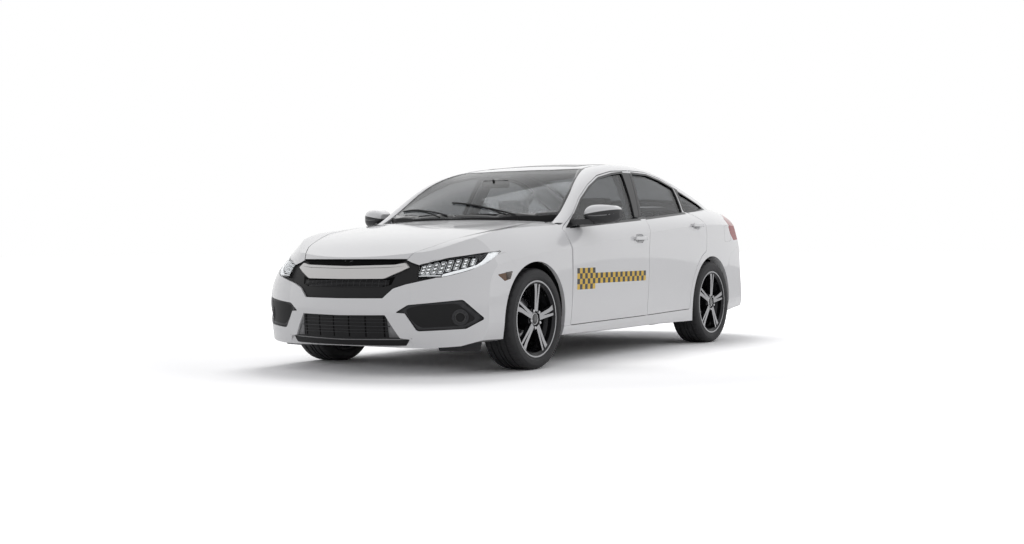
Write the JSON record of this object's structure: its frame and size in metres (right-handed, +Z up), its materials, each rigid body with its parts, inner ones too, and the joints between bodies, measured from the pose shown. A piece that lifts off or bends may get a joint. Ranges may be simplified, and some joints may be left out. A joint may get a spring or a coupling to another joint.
{
  "type": "four-door saloon taxi cab",
  "caption": "White compact four-door saloon used as a taxi, with opening doors, bonnet and boot lid, steered front wheels and rolling wheels.",
  "frame": {"origin": "on the ground under the middle of the car's bounding box", "axes": "+X towards the car's left, +Y towards its rear, +Z up"},
  "size_m": [2.148, 4.6301, 1.4131],
  "materials": {
    "white_paint": "gloss white paint",
    "tinted_glass": "dark tint",
    "clear_lamp": "clear lamp cover over reflectors",
    "dark_plastic": "grained dark plastic",
    "amber_lamp": "amber lens",
    "red_lamp": "red lens",
    "dark_steel": "black chassis paint",
    "cast_metal": "as cast",
    "dark_trim": "soft grained trim",
    "seat_cloth": "dark woven cloth",
    "alloy": "machined faces, dark pockets",
    "tyre_rubber": "road tyre"
  },
  "bodies": {
    "chassis": {"body_side_left": "white_paint", "body_side_right": "white_paint", "quarter_windows": "tinted_glass", "roof_panel": "white_paint", "sunroof": "tinted_glass", "cowl_panel": "dark_plastic", "windscreen": "tinted_glass", "rear_window": "tinted_glass", "headlamps": "clear_lamp", "grille_bar": "white_paint", "grille": "dark_plastic", "lower_grille": "dark_plastic", "fog_lamp_panels": "dark_plastic", "side_markers": "amber_lamp", "bumper_front": "white_paint", "bumper_rear": "white_paint", "fender_left": "white_paint", "fender_right": "white_paint", "rear_deck": "white_paint", "tail_lamps": "red_lamp", "underbody": "dark_steel", "front_frame": "dark_steel", "engine_block": "cast_metal", "front_suspension": "dark_steel", "rear_axle": "dark_steel", "arch_liners": "dark_plastic", "front_seats": "seat_cloth", "rear_seat": "seat_cloth", "dashboard": "dark_trim"},
    "bonnet": {"hood": "white_paint"},
    "boot_lid": {"trunk_lid": "white_paint", "trunk_lamps": "red_lamp"},
    "hand_wheel": {"steering_wheel": "dark_trim"},
    "front_door_left": {"door_front_left": "white_paint", "window_front_left": "tinted_glass", "mirror_left": "dark_plastic"},
    "rear_door_left": {"door_rear_left": "white_paint", "window_rear_left": "tinted_glass"},
    "front_door_right": {"door_front_right": "white_paint", "window_front_right": "tinted_glass", "mirror_right": "dark_plastic"},
    "rear_door_right": {"door_rear_right": "white_paint", "window_rear_right": "tinted_glass"},
    "knuckle_front_left": {"knuckle_left": "dark_steel"},
    "knuckle_front_right": {"knuckle_right": "dark_steel"},
    "front_wheel_left": {"wheel_front_left": "alloy", "tyre_front_left": "tyre_rubber"},
    "rear_wheel_left": {"wheel_rear_left": "alloy", "tyre_rear_left": "tyre_rubber"},
    "front_wheel_right": {"wheel_front_right": "alloy", "tyre_front_right": "tyre_rubber"},
    "rear_wheel_right": {"wheel_rear_right": "alloy", "tyre_rear_right": "tyre_rubber"}
  },
  "joints": [
    {"name": "hood_hinge", "type": "hinge", "parent": "chassis", "child": "bonnet", "pos_m": [0, -1, 0.93], "axis": [-1, 0, 0], "range_deg": [0, 50]},
    {"name": "boot_lid_hinge", "type": "hinge", "parent": "chassis", "child": "boot_lid", "pos_m": [0, 1.766, 1.084], "axis": [1, 0, 0], "range_deg": [0, 75]},
    {"name": "front_door_left_hinge", "type": "hinge", "parent": "chassis", "child": "front_door_left", "pos_m": [0.858, -0.886, 0.58], "axis": [0, 0, -1], "range_deg": [0, 65]},
    {"name": "rear_door_left_hinge", "type": "hinge", "parent": "chassis", "child": "rear_door_left", "pos_m": [0.86, 0.24, 0.58], "axis": [0, 0, -1], "range_deg": [0, 65]},
    {"name": "front_door_right_hinge", "type": "hinge", "parent": "chassis", "child": "front_door_right", "pos_m": [-0.858, -0.886, 0.58], "axis": [0, 0, 1], "range_deg": [0, 65]},
    {"name": "rear_door_right_hinge", "type": "hinge", "parent": "chassis", "child": "rear_door_right", "pos_m": [-0.86, 0.24, 0.58], "axis": [0, 0, 1], "range_deg": [0, 65]},
    {"name": "steer_left", "type": "hinge", "parent": "chassis", "child": "knuckle_front_left", "pos_m": [0.7, -1.42, 0.323], "axis": [0, 0, 1], "range_deg": [-30, 30]},
    {"name": "steer_right", "type": "hinge", "parent": "chassis", "child": "knuckle_front_right", "pos_m": [-0.7, -1.42, 0.323], "axis": [0, 0, 1], "range_deg": [-30, 30]},
    {"name": "steering_column", "type": "hinge", "parent": "chassis", "child": "hand_wheel", "pos_m": [0.365, -0.466, 0.8], "axis": [0, 0.9135, 0.4067], "range_deg": [-420, 420]},
    {"name": "wheel_front_left_spin", "type": "hinge", "parent": "knuckle_front_left", "child": "front_wheel_left", "pos_m": [0.79, -1.42, 0.323], "axis": [1, 0, 0], "continuous": true},
    {"name": "wheel_rear_left_spin", "type": "hinge", "parent": "chassis", "child": "rear_wheel_left", "pos_m": [0.79, 1.28, 0.323], "axis": [1, 0, 0], "continuous": true},
    {"name": "wheel_front_right_spin", "type": "hinge", "parent": "knuckle_front_right", "child": "front_wheel_right", "pos_m": [-0.79, -1.42, 0.323], "axis": [1, 0, 0], "continuous": true},
    {"name": "wheel_rear_right_spin", "type": "hinge", "parent": "chassis", "child": "rear_wheel_right", "pos_m": [-0.79, 1.28, 0.323], "axis": [1, 0, 0], "continuous": true}
  ],
  "couplings": [
    {"joint": "steer_right", "follows": "steer_left", "ratio": 1},
    {"joint": "steering_column", "follows": "steer_left", "ratio": 14}
  ]
}
